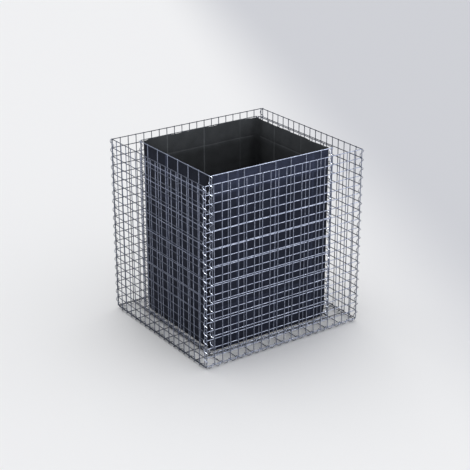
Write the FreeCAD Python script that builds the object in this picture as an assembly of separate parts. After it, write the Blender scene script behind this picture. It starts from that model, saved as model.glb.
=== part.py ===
# Gabion basket for a raised bed, standing empty. An outer basket of welded wire mesh holds stones round an inner
# basket of coarser mesh, which holds soil inside a fleece liner. Both stand on one mesh base, and helical wires
# (spirals) lace every edge. Millimetres, +Z up, front towards -Y, origin under the middle of the basket.
import FreeCAD, Part
import math
import os

V = FreeCAD.Vector

# Driving dimensions
CELL = 50.0  # mesh cell of the outer walls
WIDTH_CELLS = 20  # cells along the front
DEPTH_CELLS = 18  # cells along a side
HEIGHT_CELLS = 20  # cells up a wall
COARSE_CELLS = 2  # outer cells to one cell of the base and the inner walls
STONE_CELLS = 2  # outer cells across the space for stones
WIRE = 4.5  # diameter of the mesh wire
CORNER_STEP = 7.5  # from where two walls' planes meet to the end wire of each
SPIRAL_WIRE = 3.5  # diameter of the spiral wire
SEAT_GAP = 0.3  # clearance between pieces that are laced or stood together
LINER_SHEET = 1.6  # thickness of the liner
LINER_DROP = 3.0  # from the middle of the top wires down to the liner's edge

# Fewest sides that still read as a turn: the outer upright corners get the rounder spirals
OUTER_CORNER_SIDES = 6
PLAIN_SIDES = 4

# Where a spiral is outermost, as turns past the wires that cross its edge, so that it misses them all
OUTER_CORNER_LAG = -0.2
INNER_CORNER_LAG = 0.0
OUTER_FRONT_LAG = 0.5
OUTER_LEFT_LAG = 0.0
INNER_FRONT_LAG = 0.5
INNER_LEFT_LAG = -0.1
FOOT_TRIM = 0.25  # turns left off a spiral's end at a lower corner, to clear the two others there
HEAD_TRIM = 0.0  # turns left off an upright spiral at the top, where it hooks over the top wires

# Values worked out from the driving dimensions
SIDE = WIRE * math.sqrt(math.pi) / 2.0  # square section with the area of the round wire
PITCH = CELL  # a spiral makes one turn in each outer cell
COARSE = COARSE_CELLS * CELL
WIDTH = WIDTH_CELLS * CELL
DEPTH = DEPTH_CELLS * CELL
HEIGHT = HEIGHT_CELLS * CELL
STRAND = 0.6 * SPIRAL_WIRE  # from the middle of the spiral's three-sided section to its corners
OVERHANG = CORNER_STEP - 1.5 * SIDE - SEAT_GAP  # mesh wire past the last wire it is welded to
SEAT = CORNER_STEP / math.sqrt(2.0)  # from a spiral's axis to the wire it hangs on
BOTTOM_Z = SIDE + SEAT_GAP  # middle of the walls' lowest wires, with the base's edge wires at zero
TOP_Z = BOTTOM_Z + HEIGHT

# Half spans between the middles of end wires, and the planes of each wall's two layers of wires
OUTER_X = WIDTH / 2.0
OUTER_Y = DEPTH / 2.0
CARRIER_X = OUTER_X - STONE_CELLS * CELL
CARRIER_Y = OUTER_Y - STONE_CELLS * CELL
LAYER = CORNER_STEP - SIDE  # from the base's wire out to the plane of the walls' level wires
INNER_X = CARRIER_X - 2.0 * CORNER_STEP
INNER_Y = CARRIER_Y - 2.0 * CORNER_STEP


def places(start, end, step):
    """Wires a cell apart from start, and one at end, so the last cell is cut short where the span asks for it."""
    count = math.ceil((end - start - 2.0 * WIRE) / step)
    return [start + i * step for i in range(count)] + [end]


def mirrored_places(half, step):
    """Wires a cell apart from both ends of a span towards its middle."""
    near = [half - i * step for i in range(int(half / step + 0.001) + 1)]
    return sorted(set(near) | {-place for place in near})


def bar(low, high):
    """A straight length of mesh wire between two opposite corners of its box."""
    size = high - low
    return Part.makeBox(size.x, size.y, size.z, low)


def upright(x, y):
    half = SIDE / 2.0
    return bar(V(x - half, y - half, BOTTOM_Z - OVERHANG), V(x + half, y + half, TOP_Z + OVERHANG))


def along_x(half_span, y, z):
    half = SIDE / 2.0
    reach = half_span + OVERHANG
    return bar(V(-reach, y - half, z - half), V(reach, y + half, z + half))


def along_y(half_span, x, z):
    half = SIDE / 2.0
    reach = half_span + OVERHANG
    return bar(V(x - half, -reach, z - half), V(x + half, reach, z + half))


def front_wall(half_span, step, upright_y, level_y):
    """A welded panel across the front: upright wires in one plane, level wires against them in the next."""
    wires = [upright(x, upright_y) for x in places(-half_span, half_span, step)]
    wires += [along_x(half_span, level_y, z) for z in places(BOTTOM_Z, TOP_Z, step)]
    return Part.makeCompound(wires)


def left_wall(half_span, step, upright_x, level_x):
    wires = [upright(upright_x, y) for y in places(-half_span, half_span, step)]
    wires += [along_y(half_span, level_x, z) for z in places(BOTTOM_Z, TOP_Z, step)]
    return Part.makeCompound(wires)


def base_mesh():
    """The base: wires across the width, and wires across the depth welded under them."""
    wires = [along_x(OUTER_X, y, 0.0) for y in mirrored_places(OUTER_Y, COARSE)]
    wires += [along_y(OUTER_Y, x, -SIDE) for x in mirrored_places(OUTER_X, COARSE)]
    return Part.makeCompound(wires)


def wire_reach(direction):
    """How far the square section of a mesh wire reaches from its middle in a direction across it."""
    return SIDE / 2.0 * (abs(direction.x) + abs(direction.y) + abs(direction.z))


def swept_strand(path):
    """A three-sided wire along a path of straight runs, mitred where they meet."""
    runs = [(b - a).normalize() for a, b in zip(path, path[1:])]
    side = runs[0].cross(V(0, 0, 1) if abs(runs[0].z) < 0.9 else V(1, 0, 0)).normalize()
    other = runs[0].cross(side)
    ring = []
    for corner in range(3):
        turn = 2.0 * math.pi * corner / 3.0
        ring.append(path[0] + side * (STRAND * math.cos(turn)) + other * (STRAND * math.sin(turn)))
    rings = [ring]
    for i, run in enumerate(runs):
        mitre = run + runs[i + 1] if i + 1 < len(runs) else run
        ring = [p + run * ((path[i + 1] - p).dot(mitre) / run.dot(mitre)) for p in ring]
        rings.append(ring)
    faces = [Part.Face(Part.makePolygon(end + [end[0]])) for end in (rings[0], rings[-1])]
    for low, high in zip(rings, rings[1:]):
        for a, b in ((0, 1), (1, 2), (2, 0)):
            faces.append(Part.Face(Part.makePolygon([low[a], low[b], high[b], high[a], low[a]])))
    shell = Part.makeShell(faces)
    shell.sewShape()
    solid = Part.makeSolid(shell)
    if solid.Volume < 0:
        solid.reverse()
    return solid


def spiral(seat, held, along, span, outward, lag, sides, far_trim):
    """
    A left-handed helical wire that laces two parallel wires. It hangs on the wire at seat and holds the one at
    held, both points at the first crossing wire, runs for span in the direction along, less far_trim turns, and is
    outermost on its outward side lag turns past each crossing wire. Its corners lie over the wire that it hangs on,
    so its straight runs clear that wire by the seat gap.
    """
    to_seat = (seat - held).normalize()
    across = along.cross(to_seat)
    axis = seat - to_seat * SEAT
    quarter = 0.25 if across.dot(outward) > 0 else -0.25
    half_side = math.pi / sides
    run_faces = [to_seat * math.cos(half_side) + across * math.sin(turn) for turn in (half_side, -half_side)]
    reach = max(wire_reach(face) for face in run_faces)
    radius = SEAT + (reach + STRAND + SEAT_GAP) / math.cos(half_side)
    last_turn = span / PITCH - far_trim
    first_corner = math.ceil((FOOT_TRIM - lag - quarter) * sides - 0.001)
    path = []
    corner = first_corner
    while corner / sides + lag + quarter <= last_turn + 0.001:
        angle = 2.0 * math.pi * corner / sides
        place = axis + along * (PITCH * (corner / sides + lag + quarter))
        path.append(place + to_seat * (radius * math.cos(angle)) - across * (radius * math.sin(angle)))
        corner += 1
    return swept_strand(path)


def corner_spiral(half_x, half_y, lag, sides, x_side):
    """Laces the end wires of the front wall and of the wall on one side, at half spans half_x and half_y."""
    front_end = V(x_side * half_x, -half_y - CORNER_STEP, BOTTOM_Z)
    side_end = V(x_side * (half_x + CORNER_STEP), -half_y, BOTTOM_Z)
    return spiral(front_end, side_end, V(0, 0, 1), HEIGHT, V(x_side, -1, 0), lag, sides, HEAD_TRIM)


def front_edge_spiral(half_span, wall_y, base_y, lag):
    """Laces the lowest wire of a front wall to the wire of the base that runs beside it."""
    wall = V(-half_span, wall_y, BOTTOM_Z)
    carrier = V(-half_span, base_y, 0.0)
    return spiral(wall, carrier, V(1, 0, 0), 2.0 * half_span, V(0, -1, 0), lag, PLAIN_SIDES, FOOT_TRIM)


def left_edge_spiral(half_span, wall_x, base_x, lag):
    wall = V(wall_x, -half_span, BOTTOM_Z)
    carrier = V(base_x, -half_span, -SIDE)
    return spiral(wall, carrier, V(0, 1, 0), 2.0 * half_span, V(-1, 0, 0), lag, PLAIN_SIDES, FOOT_TRIM)


def liner():
    """The liner: one sheet folded round inside the inner basket, clear of its corner spirals, standing on the base."""
    half_side = math.pi / PLAIN_SIDES
    reach = (SIDE / 2.0 + STRAND + SEAT_GAP) / math.cos(half_side) + SEAT + STRAND
    clear = CORNER_STEP / 2.0 - reach - SEAT_GAP
    half_x = INNER_X + clear
    half_y = INNER_Y + clear
    low = SIDE / 2.0
    height = TOP_Z - LINER_DROP - low
    outside = Part.makeBox(2.0 * half_x, 2.0 * half_y, height, V(-half_x, -half_y, low))
    half_x -= LINER_SHEET
    half_y -= LINER_SHEET
    inside = Part.makeBox(2.0 * half_x, 2.0 * half_y, height, V(-half_x, -half_y, low))
    return outside.cut(inside)


def turned(shape):
    """The same piece on the opposite side: half a turn about the basket's upright axis."""
    copy = shape.copy()
    copy.rotate(V(0, 0, 0), V(0, 0, 1), 180.0)
    return copy


parts = {"base_mesh": base_mesh(), "fleece_liner": liner()}

# Outer basket: uprights outside, level wires inside
parts["outer_front_wall"] = front_wall(OUTER_X, CELL, -OUTER_Y - CORNER_STEP, -OUTER_Y - LAYER)
parts["outer_left_wall"] = left_wall(OUTER_Y, CELL, -OUTER_X - CORNER_STEP, -OUTER_X - LAYER)

# Inner basket: uprights against the liner, level wires outside, over the base's wires at the stone space's edge
parts["inner_front_wall"] = front_wall(INNER_X, COARSE, -CARRIER_Y + CORNER_STEP, -CARRIER_Y + LAYER)
parts["inner_left_wall"] = left_wall(INNER_Y, COARSE, -CARRIER_X + CORNER_STEP, -CARRIER_X + LAYER)

for name, half_x, half_y, lag, sides in (
    ("outer", OUTER_X, OUTER_Y, OUTER_CORNER_LAG, OUTER_CORNER_SIDES),
    ("inner", INNER_X, INNER_Y, INNER_CORNER_LAG, PLAIN_SIDES),
):
    parts[name + "_front_left_spiral"] = corner_spiral(half_x, half_y, lag, sides, -1)
    parts[name + "_front_right_spiral"] = corner_spiral(half_x, half_y, lag, sides, 1)

parts["outer_front_base_spiral"] = front_edge_spiral(OUTER_X, -OUTER_Y - LAYER, -OUTER_Y, OUTER_FRONT_LAG)
parts["outer_left_base_spiral"] = left_edge_spiral(OUTER_Y, -OUTER_X - LAYER, -OUTER_X, OUTER_LEFT_LAG)
parts["inner_front_base_spiral"] = front_edge_spiral(INNER_X, -CARRIER_Y + LAYER, -CARRIER_Y, INNER_FRONT_LAG)
parts["inner_left_base_spiral"] = left_edge_spiral(INNER_Y, -CARRIER_X + LAYER, -CARRIER_X, INNER_LEFT_LAG)

# The back repeats the front and the right repeats the left, half a turn round
OPPOSITE = {"front_left": "back_right", "front_right": "back_left", "front": "back", "left": "right"}
for name in list(parts):
    for side, far_side in OPPOSITE.items():
        if "_" + side + "_" in name:
            parts[name.replace(side, far_side)] = turned(parts[name])
            break

# The lowest spirals stand on the floor
lift = -min(shape.BoundBox.ZMin for shape in parts.values())

os.makedirs("parts", exist_ok=True)
for name, shape in parts.items():
    shape.translate(V(0, 0, lift))
    shape.exportStep("parts/" + name + ".step")
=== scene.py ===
"""Dresses the gabion basket: welded mesh walls, lacing spirals, the fleece liner and a small studio."""
import math

import bpy
import numpy as np
from mathutils import Matrix, Vector, noise


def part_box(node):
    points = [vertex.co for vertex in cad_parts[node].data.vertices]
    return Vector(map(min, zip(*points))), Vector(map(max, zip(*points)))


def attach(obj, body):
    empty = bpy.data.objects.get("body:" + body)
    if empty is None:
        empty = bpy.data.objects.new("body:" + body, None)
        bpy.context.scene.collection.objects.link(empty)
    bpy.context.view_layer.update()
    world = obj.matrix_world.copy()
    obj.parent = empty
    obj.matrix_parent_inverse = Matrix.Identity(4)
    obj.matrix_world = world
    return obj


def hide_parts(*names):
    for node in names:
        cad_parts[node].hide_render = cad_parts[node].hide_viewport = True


bl_info = {
    "name": "Gabion basket",
    "version": (1, 0, 0),
    "blender": (4, 5, 0),
    "location": "View3D > Sidebar > Gabion",
    "description": "Builds a welded wire gabion basket with an inner basket, a liner and lacing spirals",
    "category": "Object",
}

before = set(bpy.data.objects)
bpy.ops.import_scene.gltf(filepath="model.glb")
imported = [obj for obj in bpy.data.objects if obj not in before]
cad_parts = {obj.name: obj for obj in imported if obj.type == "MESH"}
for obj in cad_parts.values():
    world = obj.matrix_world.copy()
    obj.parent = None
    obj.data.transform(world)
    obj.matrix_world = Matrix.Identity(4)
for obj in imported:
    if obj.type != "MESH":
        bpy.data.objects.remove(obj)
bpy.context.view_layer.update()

MM = 0.001
PHOTO_PIXELS = 470  # width and height of the picture that the camera is set for
SIDES = ("front", "back", "left", "right")
CORNERS = ("front_left", "front_right", "back_left", "back_right")
KEY_LIT, GLINT_LIT, ABOVE_LIT = "lit_by_key", "lit_by_glint", "lit_from_above"
SOFTBOX_LIT, METAL = "lit_by_softbox", "metal"
HALF_TURN = Matrix.Rotation(math.pi, 4, "Z")
SHARP_EDGE = math.radians(60)  # a steeper bend shows as an edge, such as the rim of a cut end
OPPOSITE = {"back": "front", "right": "left", "back_right": "front_left", "back_left": "front_right"}

# The solids have square wires in two layers, so the base is two wires thick
SQUARE = (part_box("base_mesh")[1].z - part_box("base_mesh")[0].z) / 2.0


def linear(hex_colour):
    """An sRGB hex colour as linear red, green, blue and alpha."""
    channels = [int(hex_colour[i:i + 2], 16) / 255.0 for i in (1, 3, 5)]
    return [c / 12.92 if c <= 0.04045 else ((c + 0.055) / 1.055) ** 2.4 for c in channels] + [1.0]


def add(tree, kind, links=None, **settings):
    """Adds a node with its settings. A link is a value, a socket, or a node whose first output is meant."""
    node = tree.nodes.new(kind)
    node.location.x = 180 * len(tree.nodes)
    for name, value in settings.items():
        setattr(node, name, value)
    for key, value in (links or {}).items():
        if isinstance(value, bpy.types.Node):
            value = value.outputs[0]
        if isinstance(value, bpy.types.NodeSocket):
            tree.links.new(value, node.inputs[key])
        else:
            node.inputs[key].default_value = value
    return node


def new_tree(name, inputs):
    """A geometry tree with one output and the named inputs, each given as its socket type and default."""
    tree = bpy.data.node_groups.new(name, "GeometryNodeTree")
    tree.is_modifier = True
    tree.interface.new_socket("Geometry", in_out="OUTPUT", socket_type="NodeSocketGeometry")
    for label, (kind, default) in inputs.items():
        socket = tree.interface.new_socket(label, in_out="INPUT", socket_type="NodeSocket" + kind)
        if default is not None:
            socket.default_value = default
    return tree, tree.nodes.new("NodeGroupInput").outputs


def close_tree(tree, geometry, material):
    """Ends a tree: real geometry in one material, smooth but for the rims of cut ends."""
    real = add(tree, "GeometryNodeRealizeInstances", {"Geometry": geometry})
    smooth = add(tree, "GeometryNodeSetShadeSmooth", {"Geometry": real, "Shade Smooth": True})
    bend = add(tree, "GeometryNodeInputMeshEdgeAngle")
    rim = add(tree, "FunctionNodeCompare", {0: bend, 1: SHARP_EDGE}, operation="GREATER_THAN")
    sharp = add(tree, "GeometryNodeSetShadeSmooth",
                {"Geometry": smooth, "Selection": rim, "Shade Smooth": False}, domain="EDGE")
    painted = add(tree, "GeometryNodeSetMaterial", {"Geometry": sharp, "Material": material})
    add(tree, "NodeGroupOutput", {0: painted})


def grown(name, tree, values, place):
    """Grows a tree into a plain mesh, puts it in its place and leaves its object at the origin."""
    seed = bpy.data.objects.new(name + "_seed", bpy.data.meshes.new(name + "_seed"))
    bpy.context.scene.collection.objects.link(seed)
    modifier = seed.modifiers.new(tree.name, "NODES")
    modifier.node_group = tree
    for socket in tree.interface.items_tree:
        if socket.in_out == "INPUT":
            modifier[socket.identifier] = values[socket.name]
    graph = bpy.context.evaluated_depsgraph_get()
    mesh = bpy.data.meshes.new_from_object(seed.evaluated_get(graph), depsgraph=graph)
    bpy.data.objects.remove(seed)
    mesh.name = name
    mesh.transform(place)
    piece = bpy.data.objects.new(name, mesh)
    bpy.context.scene.collection.objects.link(piece)
    return piece


def seat_piece(piece, node, slot):
    """
    Makes a piece ride on the basket's one body in place of its solid, and puts it under its lamps. The key
    and the glint light the walls and the spirals that look bright from the front, a lamp above lights the two
    inner walls in front of the fleece, and the fleece has the softbox.
    """
    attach(piece, "root")
    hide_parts(node)
    if slot == "liner_fleece":
        bpy.data.collections[SOFTBOX_LIT].objects.link(piece)
        return
    bpy.data.collections[METAL].objects.link(piece)
    if node in ("inner_left_wall", "inner_front_wall"):
        bpy.data.collections[ABOVE_LIT].objects.link(piece)
    if node.endswith(("front_wall", "left_wall")):
        bpy.data.collections[KEY_LIT].objects.link(piece)
    if node.endswith(("front_left_spiral", "front_base_spiral")) or node == "inner_front_right_spiral":
        bpy.data.collections[GLINT_LIT].objects.link(piece)


class GabionWire(bpy.types.PropertyGroup):
    """Sizes of the meshes and the spirals"""

    cell: bpy.props.FloatProperty(
        name="Cell", description="Mesh cell of the outer walls", default=50 * MM, unit="LENGTH")
    coarse_cell: bpy.props.FloatProperty(
        name="Coarse cell", description="Mesh cell of the base and inner walls", default=100 * MM,
        unit="LENGTH")
    wire: bpy.props.FloatProperty(
        name="Wire", description="Diameter of the mesh wire", default=4.5 * MM, unit="LENGTH")
    overhang: bpy.props.FloatProperty(
        name="Overhang", description="Wire past the last wire it is welded to", default=1.2 * MM,
        unit="LENGTH")
    weld: bpy.props.FloatProperty(
        name="Weld", description="Width of the zinc-filled weld at each crossing", default=5.6 * MM,
        unit="LENGTH")
    bow: bpy.props.FloatProperty(
        name="Bow", description="How far a panel's middle strays from flat", default=1.5 * MM,
        unit="LENGTH")
    sides: bpy.props.IntProperty(
        name="Sides", description="Sides of a mesh wire's section", default=12)
    spiral: bpy.props.FloatProperty(
        name="Spiral wire", description="Diameter of the spiral wire", default=3.5 * MM, unit="LENGTH")
    seat_gap: bpy.props.FloatProperty(
        name="Seat gap", description="From a spiral to the wire that it hangs on", default=0.3 * MM,
        unit="LENGTH")
    turn_segments: bpy.props.IntProperty(
        name="Turn segments", description="Straight runs in one spiral turn", default=20)
    spiral_sides: bpy.props.IntProperty(
        name="Spiral sides", description="Sides of a spiral wire's section", default=8)


class GabionLiner(bpy.types.PropertyGroup):
    """Sizes of the fleece liner"""

    thickness: bpy.props.FloatProperty(
        name="Thickness", description="Thickness of the fleece", default=1.6 * MM, unit="LENGTH")
    lap: bpy.props.FloatProperty(
        name="Lap", description="How far the strip's two ends lie over each other", default=60 * MM,
        unit="LENGTH")
    corner: bpy.props.FloatProperty(
        name="Corner", description="Radius of the liner's folded corners", default=8 * MM, unit="LENGTH")
    swell: bpy.props.FloatProperty(
        name="Swell", description="From the corners' line out to the inner walls' wires", default=15 * MM,
        unit="LENGTH")
    slack: bpy.props.FloatProperty(
        name="Slack", description="Depth of the soft waves between the wires", default=6 * MM,
        unit="LENGTH")
    crease: bpy.props.FloatProperty(
        name="Crease", description="Height of the creases left by the folded sheet", default=2.2 * MM,
        unit="LENGTH")
    step: bpy.props.FloatProperty(
        name="Step", description="Size of the liner's mesh faces", default=12 * MM, unit="LENGTH")


class GabionFinish(bpy.types.PropertyGroup):
    """Colours of the zinc and the fleece"""

    zinc: bpy.props.FloatVectorProperty(
        name="Zinc", description="Bright hot-dip zinc on the wires", size=4, subtype="COLOR",
        default=linear("#757a88"))
    dull_zinc: bpy.props.FloatVectorProperty(
        name="Dull zinc", description="Zinc where it has weathered matt", size=4, subtype="COLOR",
        default=linear("#5f6472"))
    # Bright spring zinc, brighter than the mesh's partly as a painted highlight on the spirals
    spring_zinc_and_glint: bpy.props.FloatVectorProperty(
        name="Spring zinc", description="Thin bright zinc on the spirals", size=4, subtype="COLOR",
        default=linear("#ced4df"))
    fleece_outside: bpy.props.FloatVectorProperty(
        name="Fleece outside", description="The liner's outer face", size=4, subtype="COLOR",
        default=linear("#272b39"))
    fleece_inside: bpy.props.FloatVectorProperty(
        name="Fleece inside", description="The liner's inner face", size=4, subtype="COLOR",
        default=linear("#393b3d"))


class GabionStudio(bpy.types.PropertyGroup):
    """The camera, the floor and the lamps"""

    camera_place: bpy.props.FloatVectorProperty(
        name="Camera place", description="Where the camera stands", size=3, subtype="TRANSLATION",
        default=(-3.681, -5.285, 3.165))
    camera_turn: bpy.props.FloatProperty(
        name="Camera turn", description="Camera's heading, clockwise from +Y", subtype="ANGLE",
        default=math.radians(34.83))
    camera_dip: bpy.props.FloatProperty(
        name="Camera dip", description="Camera's angle below level", subtype="ANGLE",
        default=math.radians(22.57))
    focal_pixels: bpy.props.FloatProperty(
        name="Focal length", description="Focal length in picture pixels", default=1259.0)
    paper: bpy.props.FloatVectorProperty(
        name="Paper", description="Floor on the left and in front", size=4, subtype="COLOR",
        default=linear("#f0f0f0"))
    # Painted shade: the floor's darker tone on the far right
    paper_in_shade: bpy.props.FloatVectorProperty(
        name="Paper on the right", description="Floor on the far right", size=4, subtype="COLOR",
        default=linear("#cfd0d4"))
    fill: bpy.props.FloatProperty(
        name="Fill", description="Brightness of the room in front on the right", default=0.95)
    fill_behind: bpy.props.FloatProperty(
        name="Fill behind", description="Brightness of the room behind on the left", default=0.35)
    key: bpy.props.FloatProperty(
        name="Key", description="Strength of the small lamp in front", default=10.2)
    glint: bpy.props.FloatProperty(
        name="Glint", description="Strength of the lamp on the front spirals", default=19.0)
    above: bpy.props.FloatProperty(
        name="Above", description="Strength of the lamp over the inner walls", default=9.0)
    above_from: bpy.props.FloatVectorProperty(
        name="Above from", description="Where that lamp shines from", size=3, subtype="DIRECTION",
        default=(-0.15, 0.0, 1.0))
    key_from: bpy.props.FloatVectorProperty(
        name="Key from", description="Where the key lamp shines from", size=3, subtype="DIRECTION",
        default=(0.45, -0.82, 0.35))
    key_spread: bpy.props.FloatProperty(
        name="Key spread", description="How wide the key lamp looks", subtype="ANGLE",
        default=math.radians(40))
    softbox: bpy.props.FloatProperty(
        name="Softbox", description="Strength of the wide lamp above", default=1.25)
    softbox_from: bpy.props.FloatVectorProperty(
        name="Softbox from", description="Where the wide lamp shines from", size=3, subtype="DIRECTION",
        default=(0.05, 0.4, 0.9))
    softbox_spread: bpy.props.FloatProperty(
        name="Softbox spread", description="How wide the softbox looks", subtype="ANGLE",
        default=math.radians(68))


# Welded mesh

WELD_DEPTH = 0.6  # of a weld's width
BOW_WAVES = 3.0  # slow waves in a metre of panel
BOW_GAIN = 4.0  # the noise strays by about a quarter from its middle
SEED_STEP = 7.0  # between the places in the noise that two walls use


def wire_row(tree, along_x, count, cell, span, start, end, bends):
    """A row of like wires a cell apart, the last one moved in to the span's end."""
    index = add(tree, "GeometryNodeInputIndex")
    far = add(tree, "ShaderNodeMath", {0: index, 1: cell}, operation="MULTIPLY")
    place = add(tree, "ShaderNodeMath", {0: far, 1: span}, operation="MINIMUM")
    spot = add(tree, "ShaderNodeCombineXYZ", {("X" if along_x else "Z"): place})
    points = add(tree, "GeometryNodePoints", {"Count": count})
    row = add(tree, "GeometryNodeSetPosition", {"Geometry": points, "Position": spot})
    line = add(tree, "GeometryNodeCurvePrimitiveLine", {"Start": start, "End": end})
    wire = add(tree, "GeometryNodeResampleCurve", {"Curve": line, "Count": bends})
    copies = add(tree, "GeometryNodeInstanceOnPoints", {"Points": row, "Instance": wire})
    return add(tree, "GeometryNodeRealizeInstances", {"Geometry": copies})


def panel_tree():
    """
    A welded panel with its first crossing at the origin: upright wires in one plane, level wires a layer
    away, and a small lens of zinc in each crossing. A slow noise bows the panel's middle and leaves its edges
    straight.
    """
    tree, given = new_tree("Welded panel", {
        "Width": ("Float", 1.0), "Height": ("Float", 1.0), "Cell": ("Float", 50 * MM),
        "Layer": ("Float", SQUARE), "Wire": ("Float", 4.5 * MM), "Overhang": ("Float", 1.2 * MM),
        "Weld": ("Float", 5.6 * MM), "Bow": ("Float", 0.0), "Sides": ("Int", 12), "Seed": ("Float", 0.0),
        "Material": ("Material", None)})
    cell, layer, overhang = given["Cell"], given["Layer"], given["Overhang"]
    counts = {}
    for name in ("Width", "Height"):
        two_wires = add(tree, "ShaderNodeMath", {0: given["Wire"], 1: 2.0}, operation="MULTIPLY")
        clear = add(tree, "ShaderNodeMath", {0: given[name], 1: two_wires}, operation="SUBTRACT")
        cells = add(tree, "ShaderNodeMath", {0: clear, 1: cell}, operation="DIVIDE")
        whole = add(tree, "ShaderNodeMath", {0: cells}, operation="CEIL")
        counts[name] = add(tree, "ShaderNodeMath", {0: whole, 1: 1.0}, operation="ADD")
    before = add(tree, "ShaderNodeMath", {0: overhang, 1: -1.0}, operation="MULTIPLY")
    above = add(tree, "ShaderNodeMath", {0: given["Height"], 1: overhang}, operation="ADD")
    beyond = add(tree, "ShaderNodeMath", {0: given["Width"], 1: overhang}, operation="ADD")
    uprights = wire_row(tree, True, counts["Width"], cell, given["Width"],
                        add(tree, "ShaderNodeCombineXYZ", {"Z": before}),
                        add(tree, "ShaderNodeCombineXYZ", {"Z": above}), counts["Height"])
    levels = wire_row(tree, False, counts["Height"], cell, given["Height"],
                      add(tree, "ShaderNodeCombineXYZ", {"X": before, "Y": layer}),
                      add(tree, "ShaderNodeCombineXYZ", {"X": beyond, "Y": layer}), counts["Width"])
    both = tree.nodes.new("GeometryNodeJoinGeometry")
    tree.links.new(uprights.outputs[0], both.inputs[0])
    tree.links.new(levels.outputs[0], both.inputs[0])
    radius = add(tree, "ShaderNodeMath", {0: given["Wire"], 1: 0.5}, operation="MULTIPLY")
    section = add(tree, "GeometryNodeCurvePrimitiveCircle", {"Resolution": given["Sides"], "Radius": radius})
    wires = add(tree, "GeometryNodeCurveToMesh", {"Curve": both, "Profile Curve": section, "Fill Caps": True})

    # One weld for each upright and level: the index counts along a level, then up to the next
    index = add(tree, "GeometryNodeInputIndex")
    column = add(tree, "ShaderNodeMath", {0: index, 1: counts["Width"]}, operation="MODULO")
    quotient = add(tree, "ShaderNodeMath", {0: index, 1: counts["Width"]}, operation="DIVIDE")
    row = add(tree, "ShaderNodeMath", {0: quotient}, operation="FLOOR")
    across = add(tree, "ShaderNodeMath", {0: column, 1: cell}, operation="MULTIPLY")
    upward = add(tree, "ShaderNodeMath", {0: row, 1: cell}, operation="MULTIPLY")
    weld_x = add(tree, "ShaderNodeMath", {0: across, 1: given["Width"]}, operation="MINIMUM")
    weld_z = add(tree, "ShaderNodeMath", {0: upward, 1: given["Height"]}, operation="MINIMUM")
    half_layer = add(tree, "ShaderNodeMath", {0: layer, 1: 0.5}, operation="MULTIPLY")
    spot = add(tree, "ShaderNodeCombineXYZ", {"X": weld_x, "Y": half_layer, "Z": weld_z})
    crossings = add(tree, "ShaderNodeMath", {0: counts["Width"], 1: counts["Height"]}, operation="MULTIPLY")
    points = add(tree, "GeometryNodePoints", {"Count": crossings})
    places = add(tree, "GeometryNodeSetPosition", {"Geometry": points, "Position": spot})
    lens = add(tree, "GeometryNodeMeshUVSphere", {"Radius": 0.5, "Segments": 10, "Rings": 5})
    flat = add(tree, "ShaderNodeMath", {0: given["Weld"], 1: WELD_DEPTH}, operation="MULTIPLY")
    lens_size = add(tree, "ShaderNodeCombineXYZ", {"X": given["Weld"], "Y": given["Weld"], "Z": flat})
    welds = add(tree, "GeometryNodeInstanceOnPoints", {
        "Points": places, "Instance": lens, "Rotation": (math.pi / 2.0, 0.0, 0.0), "Scale": lens_size})
    real_welds = add(tree, "GeometryNodeRealizeInstances", {"Geometry": welds})
    panel = tree.nodes.new("GeometryNodeJoinGeometry")
    tree.links.new(wires.outputs[0], panel.inputs[0])
    tree.links.new(real_welds.outputs[0], panel.inputs[0])

    # Bow: a slow noise times a window that is zero along all four edges
    position = add(tree, "GeometryNodeInputPosition")
    axes = add(tree, "ShaderNodeSeparateXYZ", {0: position})
    windows = []
    for axis, name in (("X", "Width"), ("Z", "Height")):
        share = add(tree, "ShaderNodeMath", {0: axes.outputs[axis], 1: given[name]}, operation="DIVIDE")
        phase = add(tree, "ShaderNodeMath", {0: share, 1: math.pi}, operation="MULTIPLY")
        wave = add(tree, "ShaderNodeMath", {0: phase}, operation="SINE")
        windows.append(add(tree, "ShaderNodeMath", {0: wave, 1: 0.0}, operation="MAXIMUM"))
    window = add(tree, "ShaderNodeMath", {0: windows[0], 1: windows[1]}, operation="MULTIPLY")
    shifted = add(tree, "ShaderNodeVectorMath", {0: position, 1: given["Seed"]}, operation="ADD")
    slow = add(tree, "ShaderNodeTexNoise", {"Vector": shifted, "Scale": BOW_WAVES, "Detail": 1.0})
    centred = add(tree, "ShaderNodeMath", {0: slow, 1: 0.5}, operation="SUBTRACT")
    depth = add(tree, "ShaderNodeMath", {0: given["Bow"], 1: BOW_GAIN}, operation="MULTIPLY")
    swing = add(tree, "ShaderNodeMath", {0: centred, 1: depth}, operation="MULTIPLY")
    bow = add(tree, "ShaderNodeMath", {0: swing, 1: window}, operation="MULTIPLY")
    offset = add(tree, "ShaderNodeCombineXYZ", {"Y": bow})
    bowed = add(tree, "GeometryNodeSetPosition", {"Geometry": panel, "Offset": offset})
    close_tree(tree, bowed, given["Material"])
    return tree


def crossing_box(node):
    """Where a mesh node's end wires cross: its box less half a wire all round, in the row frame."""
    low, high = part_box(node)
    half = Vector((SQUARE, SQUARE, SQUARE)) / 2.0
    return low + half, high - half


def weld_room():
    """How much lower the top wires sit, so that their welds end level with the solids."""
    return (bpy.context.scene.gabion_wire.weld - SQUARE) / 2.0


def weld_panel(name, tree, wire, width, height, cell, layer, seed, place):
    """Grows one welded panel and seats it in place of its solids."""
    values = {"Width": width, "Height": height, "Cell": cell, "Layer": layer, "Wire": wire.wire,
              "Overhang": wire.overhang, "Weld": wire.weld, "Bow": wire.bow, "Sides": wire.sides,
              "Seed": seed, "Material": bpy.data.materials["hot_dip_galvanised_wire"]}
    piece = grown(name + "_wires", tree, values, place)
    seat_piece(piece, name, "mesh_wire")


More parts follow.
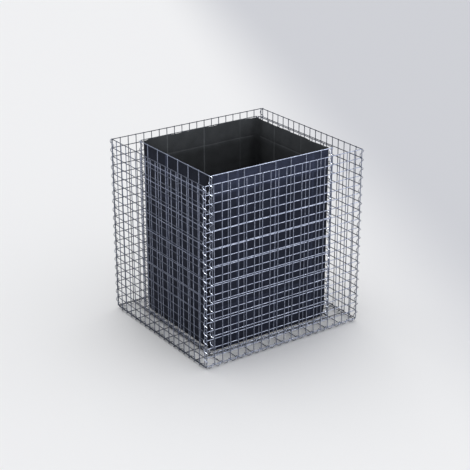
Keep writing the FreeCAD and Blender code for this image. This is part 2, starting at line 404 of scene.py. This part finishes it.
def wall_set(basket, cell):
    """The four walls of a basket. Back and right are the front and left ones, half a turn round."""
    wire = bpy.context.scene.gabion_wire
    tree = panel_tree()
    for number, side in enumerate(SIDES):
        name = f"{basket}_{side}_wall"
        near = OPPOSITE.get(side, side)
        low, high = crossing_box(f"{basket}_{near}_wall")
        if near == "front":
            uprights = low.y if basket == "outer" else high.y
            levels = high.y if basket == "outer" else low.y
            place = Matrix.Translation((low.x, uprights, low.z))
            width, layer = high.x - low.x, levels - uprights
        else:
            uprights = low.x if basket == "outer" else high.x
            levels = high.x if basket == "outer" else low.x
            place = Matrix.Translation((uprights, low.y, low.z)) @ Matrix.Rotation(math.pi / 2.0, 4, "Z")
            width, layer = high.y - low.y, uprights - levels
        if near != side:
            place = HALF_TURN @ place
        height = high.z - low.z - weld_room()
        weld_panel(name, tree, wire, width, height, cell, layer, SEED_STEP * number, place)


class GABION_OT_outer_walls(bpy.types.Operator):
    """Builds the four walls of the outer basket from fine welded mesh"""

    bl_idname = "gabion.outer_walls"
    bl_label = "Outer walls"

    def execute(self, context):
        wall_set("outer", context.scene.gabion_wire.cell)
        return {"FINISHED"}


class GABION_OT_inner_walls(bpy.types.Operator):
    """Builds the four walls of the inner basket from coarse welded mesh"""

    bl_idname = "gabion.inner_walls"
    bl_label = "Inner walls"

    def execute(self, context):
        wall_set("inner", context.scene.gabion_wire.coarse_cell)
        return {"FINISHED"}


class GABION_OT_base(bpy.types.Operator):
    """Builds the base that carries both baskets, its depth wires welded under its width wires"""

    bl_idname = "gabion.base"
    bl_label = "Base"

    def execute(self, context):
        wire = context.scene.gabion_wire
        low, high = crossing_box("base_mesh")
        place = Matrix.Translation(low) @ Matrix.Rotation(-math.pi / 2.0, 4, "X")
        weld_panel("base_mesh", panel_tree(), wire, high.x - low.x, high.y - low.y, wire.coarse_cell,
                   low.z - high.z, 0.0, place)
        return {"FINISHED"}


# Spirals


def spiral_tree():
    """
    A left-handed helix of round wire along +Z. It passes the crossing wires at whole pitches from zero, and
    is outermost, on its +X side, Lag turns past each of them.
    """
    tree, given = new_tree("Lacing spiral", {
        "Start": ("Float", 0.0), "End": ("Float", 1.0), "Pitch": ("Float", 50 * MM), "Lag": ("Float", 0.0),
        "Radius": ("Float", 9.6 * MM), "Wire": ("Float", 3.5 * MM), "Turn Segments": ("Int", 20),
        "Sides": ("Int", 8), "Material": ("Material", None)})
    length = add(tree, "ShaderNodeMath", {0: given["End"], 1: given["Start"]}, operation="SUBTRACT")
    turns = add(tree, "ShaderNodeMath", {0: length, 1: given["Pitch"]}, operation="DIVIDE")
    exact = add(tree, "ShaderNodeMath", {0: turns, 1: given["Turn Segments"]}, operation="MULTIPLY")
    runs = add(tree, "ShaderNodeMath", {0: exact}, operation="ROUND")
    count = add(tree, "ShaderNodeMath", {0: runs, 1: 1.0}, operation="ADD")
    index = add(tree, "GeometryNodeInputIndex")
    share = add(tree, "ShaderNodeMath", {0: index, 1: runs}, operation="DIVIDE")
    risen = add(tree, "ShaderNodeMath", {0: share, 1: length}, operation="MULTIPLY")
    height = add(tree, "ShaderNodeMath", {0: risen, 1: given["Start"]}, operation="ADD")
    turned = add(tree, "ShaderNodeMath", {0: height, 1: given["Pitch"]}, operation="DIVIDE")
    lagged = add(tree, "ShaderNodeMath", {0: turned, 1: given["Lag"]}, operation="SUBTRACT")
    angle = add(tree, "ShaderNodeMath", {0: lagged, 1: -2.0 * math.pi}, operation="MULTIPLY")
    cosine = add(tree, "ShaderNodeMath", {0: angle}, operation="COSINE")
    sine = add(tree, "ShaderNodeMath", {0: angle}, operation="SINE")
    x = add(tree, "ShaderNodeMath", {0: cosine, 1: given["Radius"]}, operation="MULTIPLY")
    y = add(tree, "ShaderNodeMath", {0: sine, 1: given["Radius"]}, operation="MULTIPLY")
    spot = add(tree, "ShaderNodeCombineXYZ", {"X": x, "Y": y, "Z": height})
    line = add(tree, "GeometryNodeCurvePrimitiveLine")
    points = add(tree, "GeometryNodeResampleCurve", {"Curve": line, "Count": count})
    helix = add(tree, "GeometryNodeSetPosition", {"Geometry": points, "Position": spot})
    half_wire = add(tree, "ShaderNodeMath", {0: given["Wire"], 1: 0.5}, operation="MULTIPLY")
    section = add(tree, "GeometryNodeCurvePrimitiveCircle",
                  {"Resolution": given["Sides"], "Radius": half_wire})
    strand = add(tree, "GeometryNodeCurveToMesh",
                 {"Curve": helix, "Profile Curve": section, "Fill Caps": True})
    close_tree(tree, strand, given["Material"])
    return tree


def corner_step():
    """From where two walls' planes meet to the end wire of each."""
    return crossing_box("outer_left_wall")[0].y - crossing_box("outer_front_wall")[0].y


def lace(name, tree, seat, held, along, outward, start, end, lag, half_turn):
    """
    Grows one spiral that hangs on the wire at seat and holds the one at held. Both points are at the first
    crossing wire, along is the way that it runs, and outward is the side that shows.
    """
    wire = bpy.context.scene.gabion_wire
    reach = corner_step() / math.sqrt(2.0)
    to_seat = (seat - held).normalized()
    side = along.cross(to_seat)
    if side.dot(outward) < 0.0:
        side.negate()
    turn = Matrix((side, along.cross(side), along)).transposed().to_4x4()
    place = Matrix.Translation(seat - to_seat * reach) @ turn
    if half_turn:
        place = HALF_TURN @ place
    # The corner spirals get the bright spring zinc, which also paints in their glint; the base spirals get
    # the mesh's darker zinc, which paints them in the shade they lie in
    zinc = "hot_dip_galvanised_wire" if name.endswith("base_spiral") else "galvanised_spring_wire"
    values = {"Start": start, "End": end, "Pitch": wire.cell, "Lag": lag,
              "Radius": reach + (wire.wire + wire.spiral) / 2.0 + wire.seat_gap, "Wire": wire.spiral,
              "Turn Segments": wire.turn_segments, "Sides": wire.spiral_sides,
              "Material": bpy.data.materials[zinc]}
    piece = grown(name + "_wire", tree, values, place)
    seat_piece(piece, name, "spiral_wire")


# Turns from a crossing wire to where the spiral is outermost
CORNER_LAGS = {"outer": -0.2, "inner": 0.0}
EDGE_LAGS = {
    ("outer", "front"): 0.5,
    ("outer", "left"): 0.0,
    ("inner", "front"): 0.5,
    ("inner", "left"): -0.1,
}
END_TRIM = 0.25  # turns left off a spiral where it meets two others


class GABION_OT_corner_spirals(bpy.types.Operator):
    """Laces the walls of both baskets together along their upright corners"""

    bl_idname = "gabion.corner_spirals"
    bl_label = "Corner spirals"

    def execute(self, context):
        tree = spiral_tree()
        trim = END_TRIM * context.scene.gabion_wire.cell
        for basket, lag in CORNER_LAGS.items():
            front_low, front_high = crossing_box(f"{basket}_front_wall")
            left_low, left_high = crossing_box(f"{basket}_left_wall")
            front_y = front_low.y if basket == "outer" else front_high.y
            left_x = left_low.x if basket == "outer" else left_high.x
            for corner in CORNERS:
                near = OPPOSITE.get(corner, corner)
                hand = -1.0 if near == "front_left" else 1.0
                seat = Vector((hand * front_high.x, front_y, front_low.z))
                held = Vector((hand * -left_x, left_low.y, front_low.z))
                top = front_high.z - front_low.z - weld_room()
                lace(f"{basket}_{corner}_spiral", tree, seat, held, Vector((0, 0, 1)), Vector((hand, -1, 0)),
                     trim, top, lag, near != corner)
        return {"FINISHED"}


class GABION_OT_base_spirals(bpy.types.Operator):
    """Laces the feet of both baskets to the base"""

    bl_idname = "gabion.base_spirals"
    bl_label = "Base spirals"

    def execute(self, context):
        wire = context.scene.gabion_wire
        tree = spiral_tree()
        trim = END_TRIM * wire.cell
        base_low, base_high = crossing_box("base_mesh")
        stone_space = {"outer": 0.0, "inner": wire.coarse_cell}
        for (basket, near), lag in EDGE_LAGS.items():
            low, high = crossing_box(f"{basket}_{near}_wall")
            inset = stone_space[basket]
            if near == "front":
                level_y = high.y if basket == "outer" else low.y
                seat = Vector((low.x, level_y, low.z))
                held = Vector((low.x, base_low.y + inset, base_high.z))
                along, outward, length = Vector((1, 0, 0)), Vector((0, -1, 0)), high.x - low.x
            else:
                level_x = high.x if basket == "outer" else low.x
                seat = Vector((level_x, low.y, low.z))
                held = Vector((base_low.x + inset, low.y, base_low.z))
                along, outward, length = Vector((0, 1, 0)), Vector((-1, 0, 0)), high.y - low.y
            for side in SIDES:
                if OPPOSITE.get(side, side) == near:
                    lace(f"{basket}_{side}_base_spiral", tree, seat, held, along, outward,
                         trim, length - trim, lag, side != near)
        return {"FINISHED"}


# Liner

# Where the creases are and how sharp each is: along each wall from its middle, going round with the strip,
# and down from the top edge
CREASES = {
    "left": {-0.085: 0.9, 0.031: 0.6},
    "front": {-0.222: 0.7, 0.02: 1.0, 0.268: 0.6},
    "right": {-0.076: 0.7, 0.17: 0.8},
    "back": {-0.265: 0.6, -0.02: 0.8, 0.222: 0.8},
}
CREASE_DROPS = {0.106: 0.7, 0.25: 0.35, 0.5: 0.5, 0.75: 0.4}
CREASE_HALF = 11 * MM  # half the width of a crease
CREASE_MARKS = (-CREASE_HALF, -4 * MM, 0.0, 4 * MM, CREASE_HALF)  # the mesh's lines at a crease
CREASE_CLEAR = 15 * MM  # its other lines stay this far off

TOP_LIGHT_DROPS = {0.0: 1.0, 0.095: 0.8, 0.125: 0.3, 0.3: 0.0}  # down from the top edge, and how much paler the fleece is painted there, as painted light from above
TOP_LIGHT_WALLS = {"left": 0.0, "front": 1.0, "right": 1.0, "back": 1.0}  # how much of that painted top light a wall has
SHADED_WALLS = {"left": 1.0}  # how much painted shade darkens a whole wall, beyond that in its corners
CORNER_SHADE_RUN = 55 * MM  # how far the painted shade in a corner reaches from it

EDGE_RISE = {"left": -1.5 * MM, "front": -2.0 * MM, "right": -6.0 * MM, "back": 4.0 * MM}
EDGE_RUN = 40 * MM  # from a corner to where the top edge has risen by that
EDGE_POWER = 6  # keeps the edge's rise and waves near the top
EDGE_SEED = 3.7  # a place in the noise
EDGE_STRETCH = 0.25  # the length that the edge's waves are counted in
EDGE_WAVES = (  # how many in that length, how high, and where they start in the noise
    (2.2, 5.0 * MM, Vector((0.0, 0.0, 0.0))),
    (5.0, 2.5 * MM, Vector((9.0, 2.0, 0.0))),
)
CORNER_WAVE = 0.3  # share of the waves that the corners have too

SAG_ALONG, SAG_UP = 3.4, 1.3  # slow waves in a metre of the strip's length and height
SAG_SEED = 1.7  # a place in the noise
SAGS = ((1.3, 0.5), (3.1, 0.35))  # how much faster each wave is than that, and its share of the slack
CORNER_SWELL = 0.55  # share of the swell that the corners have too
SWELL_RUN = 14 * MM  # from a corner to where the fleece lies against the wires
FOOT_RUN = 70 * MM  # from the foot up to the same place
FOOT_LIFT = 1.1 * MM  # clears the base wires where the base bows up

LAP_RUN = 15 * MM  # from the corner to where the lap lies inside the strip's start
LAP_GAP = 0.6 * MM  # between the two
CORNER_STEPS = 6  # mesh faces round a corner


def eased(share):
    """Runs smoothly from 0 to 1."""
    share = np.clip(share, 0.0, 1.0)
    return share * share * (3.0 - 2.0 * share)


def creased(place, creases):
    """How sharply the fleece is creased at a place."""
    return max((sharp * max(0.0, 1.0 - abs(place - crease) / CREASE_HALF)
                for crease, sharp in creases.items()), default=0.0)


def marks(length, step, creases):
    """Places along a length: a step apart, with some more at each crease."""
    even = list(np.linspace(0.0, length, max(2, round(length / step) + 1)))
    near = [crease + away for crease in creases for away in CREASE_MARKS if 0.0 < crease + away < length]
    kept = [place for place in even if all(abs(place - crease) > CREASE_CLEAR for crease in creases)]
    return sorted(set(kept + near + [0.0, length]))


def strip_columns(cloth, half_x, half_y):
    """
    Walks the strip round the liner's corners' line, from the back left corner by the left, front, right and
    back walls, and ends in a lap inside its own start. Each column holds its place along the strip, its
    point, the way out of the liner, its wall, how far it is from a corner, how sharply it is creased and how
    far it is lapped.
    """
    radius = cloth.corner
    turns = (
        ("left", (-half_x, half_y), (0, -1), 2 * half_y),
        ("front", (-half_x, -half_y), (1, 0), 2 * half_x),
        ("right", (half_x, -half_y), (0, 1), 2 * half_y),
        ("back", (half_x, half_y), (-1, 0), 2 * half_x),
        ("lap", (-half_x, half_y), (0, -1), 2 * half_y),
    )
    columns = []
    along_strip = 0.0
    for wall, corner, way, length in turns:
        corner, way = Vector(corner), Vector(way)
        out = Vector((way.y, -way.x))
        lap = wall == "lap"
        straight = cloth.lap if lap else length - 2.0 * radius
        middle = length / 2.0 - radius
        creases = {middle + place: sharp for place, sharp in CREASES.get(wall, {}).items()}
        for place in marks(straight, cloth.step, creases):
            point = corner + way * (radius + place)
            from_corner = place if lap else min(place, straight - place)
            lapped = eased(place / LAP_RUN) if lap else 0.0
            sharp = creased(place, creases)
            columns.append((along_strip + place, point, out, wall, from_corner, sharp, lapped))
        along_strip += straight
        if lap:
            break
        centre = corner + way * (length - radius) - out * radius
        for step in range(1, CORNER_STEPS):
            angle = math.pi / 2.0 * step / CORNER_STEPS
            turned = out * math.cos(angle) + way * math.sin(angle)
            point = centre + turned * radius
            columns.append((along_strip + angle * radius, point, turned, wall, 0.0, 0.0, 0.0))
        along_strip += math.pi / 2.0 * radius
    return columns, along_strip


def edge_stray(along, wall, from_corner, calm):
    """How far the top edge strays from level: each wall's rise, the left one's for the lap, and its waves."""
    run = Vector((along / EDGE_STRETCH, EDGE_SEED, 0.0))
    wave = sum(noise.noise(run * often + start) * high for often, high, start in EDGE_WAVES)
    rise = EDGE_RISE.get(wall, EDGE_RISE["left"]) * eased(from_corner / EDGE_RUN)
    return rise + wave * (CORNER_WAVE + (1.0 - CORNER_WAVE) * calm)


def sag(along, level):
    """How much of its slack the fleece has at a place, from 0 to 1, in soft waves."""
    spot = Vector((along * SAG_ALONG, level * SAG_UP, SAG_SEED))
    soft = sum((share * noise.noise(spot * often) for often, share in SAGS), 0.5)
    return min(max(soft, 0.0), 1.0)


def thickened(mesh, thickness):
    """A sheet with its thickness as a plain mesh, in its second finish inside and on the rim."""
    sheet = bpy.data.objects.new(mesh.name, mesh)
    bpy.context.scene.collection.objects.link(sheet)
    solid = sheet.modifiers.new("thickness", "SOLIDIFY")
    solid.thickness = thickness
    solid.offset = 0.0
    solid.use_even_offset = True
    solid.material_offset = 1
    solid.material_offset_rim = 1
    graph = bpy.context.evaluated_depsgraph_get()
    thick = bpy.data.meshes.new_from_object(sheet.evaluated_get(graph), depsgraph=graph)
    bpy.data.objects.remove(sheet)
    thick.shade_smooth()
    thick.set_sharp_from_angle(angle=SHARP_EDGE)
    return thick


class GABION_OT_liner(bpy.types.Operator):
    """Folds the fleece strip round the inside of the inner basket"""

    bl_idname = "gabion.liner"
    bl_label = "Liner"

    def execute(self, context):
        cloth = context.scene.gabion_liner
        low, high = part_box("fleece_liner")
        half = cloth.thickness / 2.0
        foot = low.z + FOOT_LIFT
        height = high.z - foot
        columns, strip_length = strip_columns(cloth, high.x - half, high.y - half)
        levels = marks(height, cloth.step, [height - drop for drop in CREASE_DROPS])
        top_light_shares = [float(np.interp(height - level, list(TOP_LIGHT_DROPS), list(TOP_LIGHT_DROPS.values()))) for level in levels]
        grid, crease, fade, dust = [], [], [], []
        for along, point, out, wall, from_corner, sharp, lapped in columns:
            calm = eased(from_corner / SWELL_RUN)
            held_out = CORNER_SWELL + (1.0 - CORNER_SWELL) * calm
            edge = edge_stray(along, wall, from_corner, calm)
            for level in levels:
                across = creased(height - level, CREASE_DROPS)
                ground = eased(level / FOOT_RUN)
                most = cloth.swell * held_out * ground
                slack = cloth.slack * calm * ground * sag(along, level)
                ridge = cloth.crease * (sharp * calm + across * calm)
                depth = min(most - slack + ridge, most) - lapped * (cloth.thickness + LAP_GAP)
                z = foot + level + edge * (level / height) ** EDGE_POWER
                grid.append((point.x + out.x * depth, point.y + out.y * depth, z))
                crease.append(max(sharp, across * calm))
            # Painted top light: how much paler the fleece is painted near its top edge, as if lit more from
            # above
            fade += [TOP_LIGHT_WALLS.get(wall, TOP_LIGHT_WALLS["left"]) * share for share in top_light_shares]
            # Painted shade: zero where the fleece is fully lit, and lower the darker its corner or wall is
            # painted
            dust += [eased(from_corner / CORNER_SHADE_RUN) - 1.0 - SHADED_WALLS.get(wall, 0.0)] * len(levels)
        rows = len(levels)
        faces = [(i * rows + j, (i + 1) * rows + j, (i + 1) * rows + j + 1, i * rows + j + 1)
                 for i in range(len(columns) - 1) for j in range(rows - 1)]
        mesh = bpy.data.meshes.new("fleece_sheet")
        mesh.from_pydata(grid, [], faces)
        for name, wear_and_light in (("crease", crease), ("fade", fade), ("dust", dust)):
            mesh.attributes.new(name, "FLOAT", "POINT").data.foreach_set("value", wear_and_light)
        layer = mesh.uv_layers.new(name="strip")
        for loop in mesh.loops:
            column, row = divmod(loop.vertex_index, rows)
            layer.data[loop.index].uv = (columns[column][0], levels[row])
        mesh.materials.append(bpy.data.materials["needle_punched_fleece_outside"])
        mesh.materials.append(bpy.data.materials["needle_punched_fleece_inside"])
        thick = thickened(mesh, cloth.thickness)
        thick.name = "fleece_liner_sheet"
        liner = bpy.data.objects.new("fleece_liner_sheet", thick)
        context.scene.collection.objects.link(liner)
        seat_piece(liner, "fleece_liner", "liner_fleece")
        return {"FINISHED"}


# Finishes

CRYSTAL = 9 * MM  # width of a frozen zinc crystal
ZINC_CLOUD = 60 * MM  # patches that froze brighter or duller
ZINC_RIPPLE = 3 * MM  # where the zinc ran before it froze
ZINC_FOOT_LIGHT, ZINC_TOP_LIGHT = 0.82, 1.15  # painted light on the zinc: its tone at the foot, darker, and a metre up, brighter
ROUGHER, SMOOTHER = 0.08, 0.04  # the dullest and the brightest crystals against the zinc's roughness
TUFT = 5 * MM  # tangled clumps, because single fibres are too fine to show
FELT_CLOUD = 70 * MM  # thick and thin places in the felt
FUZZ = 0.02  # loose fibres that catch the light at the cloth's edges


def new_material(name):
    """A material with an empty tree."""
    material = bpy.data.materials.new(name)
    material.use_nodes = True
    material.node_tree.nodes.clear()
    return material


def galvanised(name, bright, dull, roughness):
    """
    Hot-dip galvanised steel: zinc frozen in small crystals, each with its own tone and gloss, over drawn
    wire. The eye sees a grey metal with a soft mottle and no mirror images, painted brighter at the top and
    darker low down, as light falls more on the top.
    """
    tree = new_material(name).node_tree
    place = add(tree, "ShaderNodeTexCoord").outputs["Object"]
    crystals = add(tree, "ShaderNodeTexVoronoi", {"Vector": place, "Scale": 1.0 / CRYSTAL})
    clouds = add(tree, "ShaderNodeTexNoise", {"Vector": place, "Scale": 1.0 / ZINC_CLOUD, "Detail": 3.0})
    crystal_tone = add(tree, "ShaderNodeSeparateColor", {0: crystals.outputs["Color"]})
    mixed = add(tree, "ShaderNodeMath", {0: crystal_tone, 1: clouds.outputs[0]}, operation="MULTIPLY")
    tone = add(tree, "ShaderNodeMapRange", {"Value": mixed, "From Min": 0.1, "From Max": 0.5})
    colour = add(tree, "ShaderNodeMix", {"Factor": tone, 6: dull, 7: bright}, data_type="RGBA")
    # Painted light: the zinc darker at the foot and brighter at the top
    height = add(tree, "ShaderNodeSeparateXYZ", {0: place})
    height_light = add(tree, "ShaderNodeMapRange", {
        "Value": height.outputs["Z"], "To Min": ZINC_FOOT_LIGHT, "To Max": ZINC_TOP_LIGHT})
    height_lit = add(tree, "ShaderNodeVectorMath", {0: colour.outputs[2], "Scale": height_light}, operation="SCALE")
    gloss = add(tree, "ShaderNodeMapRange", {
        "Value": mixed, "From Max": 0.6, "To Min": roughness + ROUGHER, "To Max": roughness - SMOOTHER})
    ripples = add(tree, "ShaderNodeTexNoise", {"Vector": place, "Scale": 1.0 / ZINC_RIPPLE, "Detail": 2.0})
    bump = add(tree, "ShaderNodeBump", {
        "Height": ripples.outputs[0], "Strength": 0.12, "Distance": 0.3 * MM})
    surface = add(tree, "ShaderNodeBsdfPrincipled", {
        "Base Color": height_lit, "Metallic": 1.0, "Roughness": gloss, "Normal": bump})
    add(tree, "ShaderNodeOutputMaterial", {"Surface": surface})


def fleece(name, colour, rub_and_highlight, thin, top_light_gain, shade_gain):
    """
    Needle-punched polyester fleece: short fibres tangled into a felt. The eye sees a dead matt cloth, faintly
    clouded, with a thin light fuzz at the edges and a paler line along each crease, part rub and part painted
    highlight. Painted light makes the top paler, and painted shade makes the corners and some walls darker.
    These three have their strengths, and thin narrows the crease lines.
    """
    tree = new_material(name).node_tree
    place = add(tree, "ShaderNodeTexCoord").outputs["Object"]
    fibres = add(tree, "ShaderNodeTexNoise", {"Vector": place, "Scale": 1.0 / TUFT, "Detail": 4.0})
    clouds = add(tree, "ShaderNodeTexNoise", {"Vector": place, "Scale": 1.0 / FELT_CLOUD, "Detail": 2.0})
    both = add(tree, "ShaderNodeMath", {0: fibres.outputs[0], 1: clouds.outputs[0]}, operation="ADD")
    tone = add(tree, "ShaderNodeMapRange", {
        "Value": both, "From Min": 0.6, "From Max": 1.4, "To Min": 0.75, "To Max": 1.3})
    cloth = add(tree, "ShaderNodeVectorMath", {0: colour[:3], "Scale": tone}, operation="SCALE")
    # The cloth is lifted along creases, part rub and part painted highlight, paler near the top as painted
    # light, and darker where painted shade lies
    lift = 1.0
    for wear_and_light, gain, power in (("crease", rub_and_highlight, thin), ("fade", top_light_gain, 1.0), ("dust", shade_gain, 1.0)):
        share = add(tree, "ShaderNodeAttribute", attribute_name=wear_and_light).outputs["Fac"]
        if power != 1.0:
            share = add(tree, "ShaderNodeMath", {0: share, 1: power}, operation="POWER")
        lift = add(tree, "ShaderNodeMath", {0: share, 1: gain, 2: lift}, operation="MULTIPLY_ADD")
    worn_and_lit = add(tree, "ShaderNodeVectorMath", {0: cloth, "Scale": lift}, operation="SCALE")
    bump = add(tree, "ShaderNodeBump", {
        "Height": fibres.outputs[0], "Strength": 0.35, "Distance": 0.6 * MM})
    surface = add(tree, "ShaderNodeBsdfPrincipled", {
        "Base Color": worn_and_lit, "Roughness": 0.95, "Specular IOR Level": 0.2, "Sheen Weight": FUZZ,
        "Sheen Roughness": 0.5, "Normal": bump})
    add(tree, "ShaderNodeOutputMaterial", {"Surface": surface})


class GABION_OT_finishes(bpy.types.Operator):
    """Makes the materials of the wires and the liner"""

    bl_idname = "gabion.finishes"
    bl_label = "Finishes"

    def execute(self, context):
        finish = context.scene.gabion_finish
        galvanised("hot_dip_galvanised_wire", finish.zinc, finish.dull_zinc, roughness=0.56)
        galvanised("galvanised_spring_wire", finish.spring_zinc_and_glint, finish.zinc, roughness=0.42)
        fleece("needle_punched_fleece_outside", finish.fleece_outside,
               rub_and_highlight=1.6, thin=1.0, top_light_gain=1.15, shade_gain=0.3)
        fleece("needle_punched_fleece_inside", finish.fleece_inside,
               rub_and_highlight=7.0, thin=4.0, top_light_gain=1.2, shade_gain=0.45)
        return {"FINISHED"}


# Studio

FLOOR_REACH = 40.0  # metres each way
SHADE_TURN = 0.2  # radians from the camera's right towards the back
SHADE_START, SHADE_END = 0.7, 1.8  # metres that way, where the painted shade on the floor begins and is darkest
BRIGHT_SIDE = (0.55, -0.8, 0.25)  # the way to the room's bright side
CEILING_RISE = 0.6  # upward share of a line of sight that meets the dim ceiling
CEILING_TONE = 0.25  # how dim that is
BACKDROP_LIFT = 0.17  # how much brighter the camera sees the backdrop than metal does


def set_camera(scene, studio):
    """Stands the camera in front of the basket on the left, tilted down at it."""
    data = bpy.data.cameras.new("camera")
    data.sensor_width = 36.0
    data.lens = data.sensor_width * studio.focal_pixels / PHOTO_PIXELS
    camera = bpy.data.objects.new("camera", data)
    camera.location = studio.camera_place
    camera.rotation_euler = (math.pi / 2.0 - studio.camera_dip, 0.0, -studio.camera_turn)
    scene.collection.objects.link(camera)
    scene.camera = camera


def lay_floor(scene, studio):
    """Lays a floor of matt white paper, with painted shade that darkens it a little on the right."""
    mesh = bpy.data.meshes.new("floor")
    ends = (-FLOOR_REACH, FLOOR_REACH)
    mesh.from_pydata([(x, y, 0.0) for y in ends for x in ends], [], [(0, 1, 3, 2)])
    floor = bpy.data.objects.new("floor", mesh)
    scene.collection.objects.link(floor)
    paper = new_material("matt_paper_floor")
    tree = paper.node_tree
    place = add(tree, "ShaderNodeTexCoord").outputs["Object"]
    turned = add(tree, "ShaderNodeMapping", {
        "Vector": place, "Rotation": (0.0, 0.0, studio.camera_turn - SHADE_TURN)})
    to_right = add(tree, "ShaderNodeSeparateXYZ", {0: turned})
    shade = add(tree, "ShaderNodeMapRange", {
        "Value": to_right.outputs["X"], "From Min": SHADE_START, "From Max": SHADE_END},
        interpolation_type="SMOOTHSTEP")
    tone = add(tree, "ShaderNodeMix", {"Factor": shade, 6: studio.paper, 7: studio.paper_in_shade},
               data_type="RGBA")
    surface = add(tree, "ShaderNodeBsdfPrincipled", {
        "Base Color": tone.outputs[2], "Roughness": 1.0, "Specular IOR Level": 0.0})
    add(tree, "ShaderNodeOutputMaterial", {"Surface": surface})
    mesh.materials.append(paper)
    return floor


def light_room(scene, studio):
    """
    Lights everything from all round, more from in front on the right than from behind on the left. In place
    of that light, the camera and the metal see a pale backdrop under a dim ceiling.
    """
    world = bpy.data.worlds.new("studio")
    scene.world = world
    world.use_nodes = True
    tree = world.node_tree
    tree.nodes.clear()
    ray = add(tree, "ShaderNodeLightPath").outputs
    seen_or_mirrored = add(tree, "ShaderNodeMath", {0: ray["Is Camera Ray"], 1: ray["Is Glossy Ray"]},
                           operation="MAXIMUM")
    shown = add(tree, "ShaderNodeMath", {0: seen_or_mirrored, 1: ray["Is Transmission Ray"]},
                operation="MAXIMUM")
    way = add(tree, "ShaderNodeTexCoord").outputs["Object"]
    facing = add(tree, "ShaderNodeVectorMath", {0: way, 1: BRIGHT_SIDE}, operation="DOT_PRODUCT")
    bright = add(tree, "ShaderNodeMapRange", {
        "Value": facing.outputs["Value"], "From Min": -0.8, "From Max": 0.9,
        "To Min": studio.fill_behind, "To Max": studio.fill})
    room = add(tree, "ShaderNodeBackground", {"Color": linear("#f6f7fa"), "Strength": bright})
    height = add(tree, "ShaderNodeSeparateXYZ", {0: way}).outputs["Z"]
    ceiling = add(tree, "ShaderNodeMapRange", {
        "Value": height, "From Max": CEILING_RISE, "To Min": 1.0, "To Max": CEILING_TONE})
    haze = add(tree, "ShaderNodeMath", {0: ray["Is Camera Ray"], 1: BACKDROP_LIFT, 2: 1.0},
               operation="MULTIPLY_ADD")
    shining = add(tree, "ShaderNodeMath", {0: ceiling, 1: haze}, operation="MULTIPLY")
    backdrop = add(tree, "ShaderNodeBackground", {"Color": linear("#dfe0e3"), "Strength": shining})
    sky = add(tree, "ShaderNodeMixShader", {0: shown, 1: room, 2: backdrop})
    add(tree, "ShaderNodeOutputWorld", {"Surface": sky})


def hang_lamps(scene, studio, floor):
    """
    Hangs the lamps, each of which lights the pieces of one collection only. Under all but the softbox, only
    the metal pieces throw a shadow.
    """
    key_lit, glint_lit, above_lit, softbox_lit, metal = [
        bpy.data.collections.new(name) for name in (KEY_LIT, GLINT_LIT, ABOVE_LIT, SOFTBOX_LIT, METAL)]
    softbox_lit.objects.link(floor)
    for name, strength, spread, shines_from, lit in (
            ("key", studio.key, studio.key_spread, studio.key_from, key_lit),
            ("glint", studio.glint, studio.key_spread, studio.key_from, glint_lit),
            ("above", studio.above, studio.key_spread, studio.above_from, above_lit),
            ("softbox", studio.softbox, studio.softbox_spread, studio.softbox_from, softbox_lit)):
        lamp = bpy.data.lights.new(name, "SUN")
        lamp.energy = strength
        lamp.angle = spread
        light = bpy.data.objects.new(name, lamp)
        light.rotation_euler = (-Vector(shines_from)).to_track_quat("-Z", "Y").to_euler()
        scene.collection.objects.link(light)
        light.light_linking.receiver_collection = lit
        if lit is not softbox_lit:
            light.light_linking.blocker_collection = metal


class GABION_OT_stage(bpy.types.Operator):
    """Sets up the pale floor, the soft light and the camera"""

    bl_idname = "gabion.stage"
    bl_label = "Stage"

    def execute(self, context):
        scene = context.scene
        studio = scene.gabion_studio
        scene.view_settings.view_transform = "Standard"
        set_camera(scene, studio)
        floor = lay_floor(scene, studio)
        light_room(scene, studio)
        hang_lamps(scene, studio, floor)
        return {"FINISHED"}


class GABION_PT_sidebar(bpy.types.Panel):
    """Lists the basket's pieces and sizes"""

    bl_idname = "GABION_PT_sidebar"
    bl_label = "Gabion basket"
    bl_space_type = "VIEW_3D"
    bl_region_type = "UI"
    bl_category = "Gabion"

    def draw(self, context):
        for step in STEPS:
            self.layout.operator(step.bl_idname)
        for group in GROUPS:
            for name in GROUPS[group].__annotations__:
                self.layout.prop(getattr(context.scene, group), name)


GROUPS = {
    "gabion_wire": GabionWire,
    "gabion_liner": GabionLiner,
    "gabion_finish": GabionFinish,
    "gabion_studio": GabionStudio,
}
STEPS = (GABION_OT_stage, GABION_OT_finishes, GABION_OT_outer_walls, GABION_OT_inner_walls, GABION_OT_base,
         GABION_OT_corner_spirals, GABION_OT_base_spirals, GABION_OT_liner)


def register():
    for group in GROUPS.values():
        bpy.utils.register_class(group)
    for name, group in GROUPS.items():
        setattr(bpy.types.Scene, name, bpy.props.PointerProperty(type=group))
    for step in STEPS:
        bpy.utils.register_class(step)
    bpy.utils.register_class(GABION_PT_sidebar)


def unregister():
    bpy.utils.unregister_class(GABION_PT_sidebar)
    for step in reversed(STEPS):
        bpy.utils.unregister_class(step)
    for name, group in GROUPS.items():
        delattr(bpy.types.Scene, name)
        bpy.utils.unregister_class(group)


def main():
    register()
    bpy.ops.gabion.stage()
    bpy.ops.gabion.finishes()
    bpy.ops.gabion.outer_walls()
    bpy.ops.gabion.inner_walls()
    bpy.ops.gabion.base()
    bpy.ops.gabion.corner_spirals()
    bpy.ops.gabion.base_spirals()
    bpy.ops.gabion.liner()


if __name__ == "__main__":
    main()
